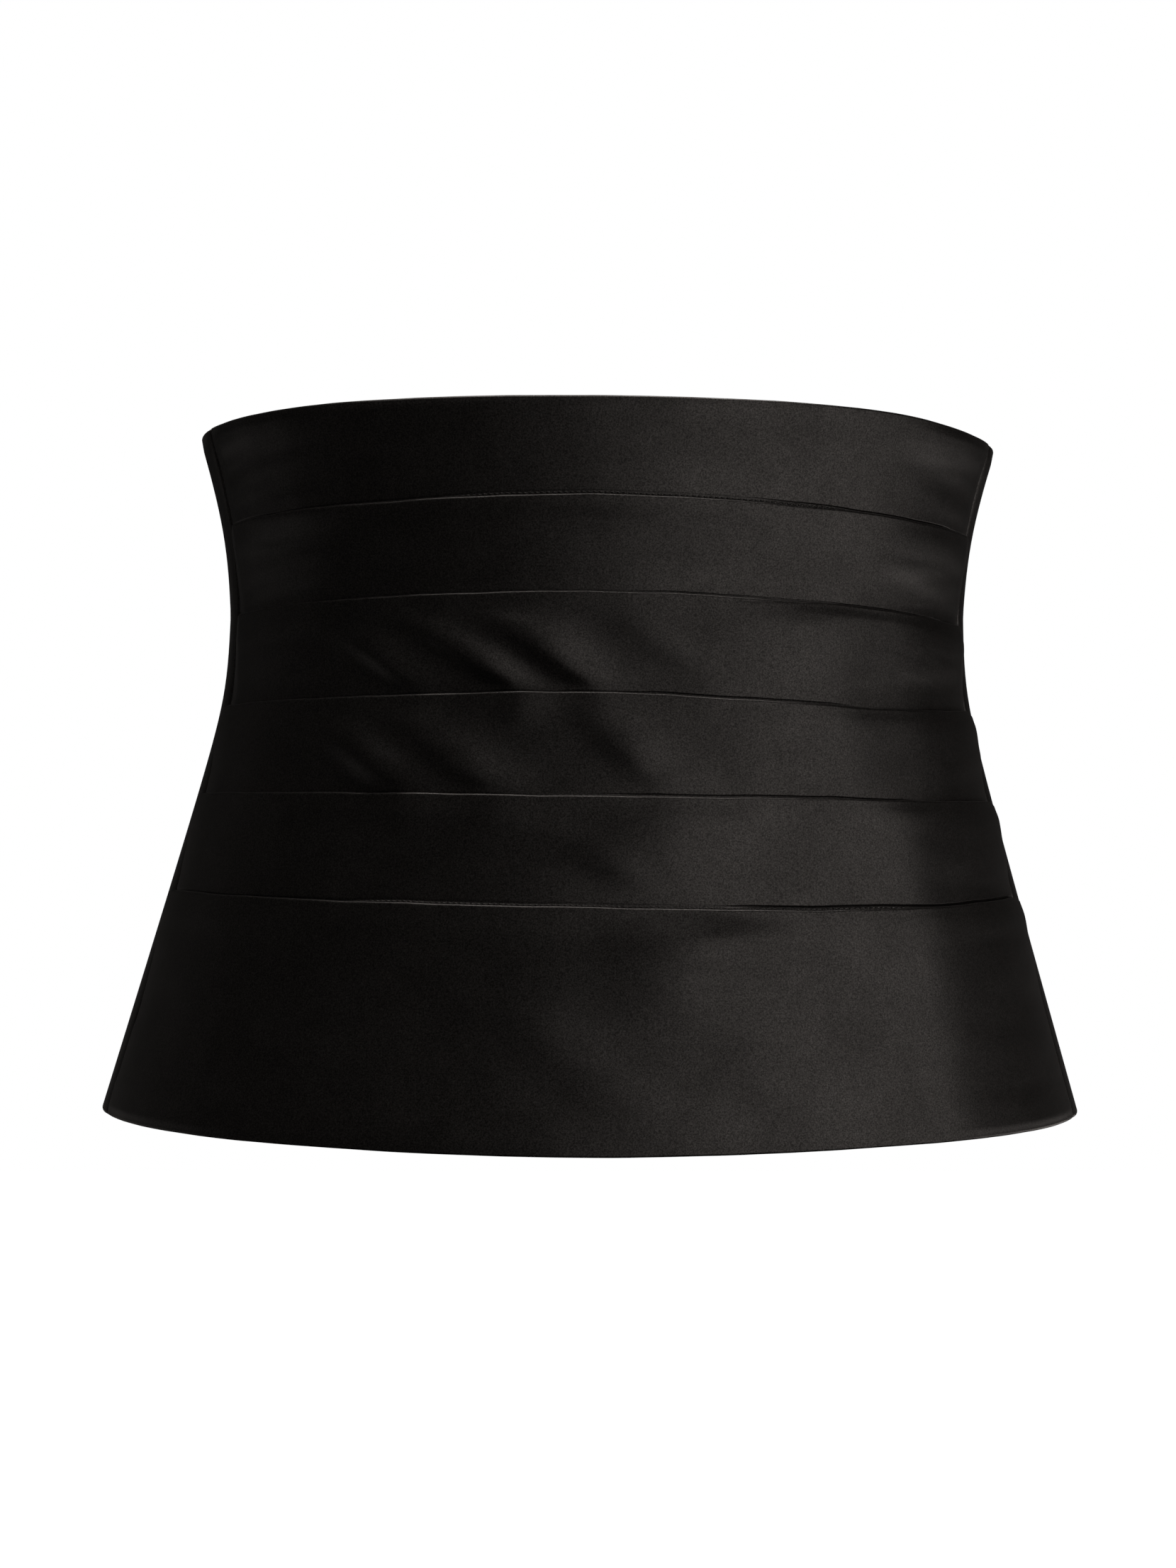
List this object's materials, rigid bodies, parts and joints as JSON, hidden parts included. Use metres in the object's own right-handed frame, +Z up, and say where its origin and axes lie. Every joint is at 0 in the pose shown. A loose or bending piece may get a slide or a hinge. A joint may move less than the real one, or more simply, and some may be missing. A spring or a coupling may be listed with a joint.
{
  "type": "cummerbund",
  "caption": "Wide pleated satin waist sash in its worn form, with upturned pleats across the front, a plain wide lower band and plain back panels that close at centre back",
  "frame": {"origin": "middle of the wearer's waist, on the axis of the belt at its narrowest level", "axes": "+Z up, -Y towards the pleated front, +X towards the wearer's left, which is the viewer's right"},
  "size_m": [0.3193, 0.2207, 0.2271],
  "materials": {
    "satin": "satin weave, soft sheen",
    "tape": "matt woven tape"
  },
  "bodies": {
    "root": {"top_band": "satin", "pleat_2": "satin", "pleat_3": "satin", "pleat_4": "satin", "pleat_5": "satin", "lower_band": "satin", "back_panel_left": "satin", "back_panel_right": "satin", "fastening_tape": "tape"}
  },
  "joints": []
}
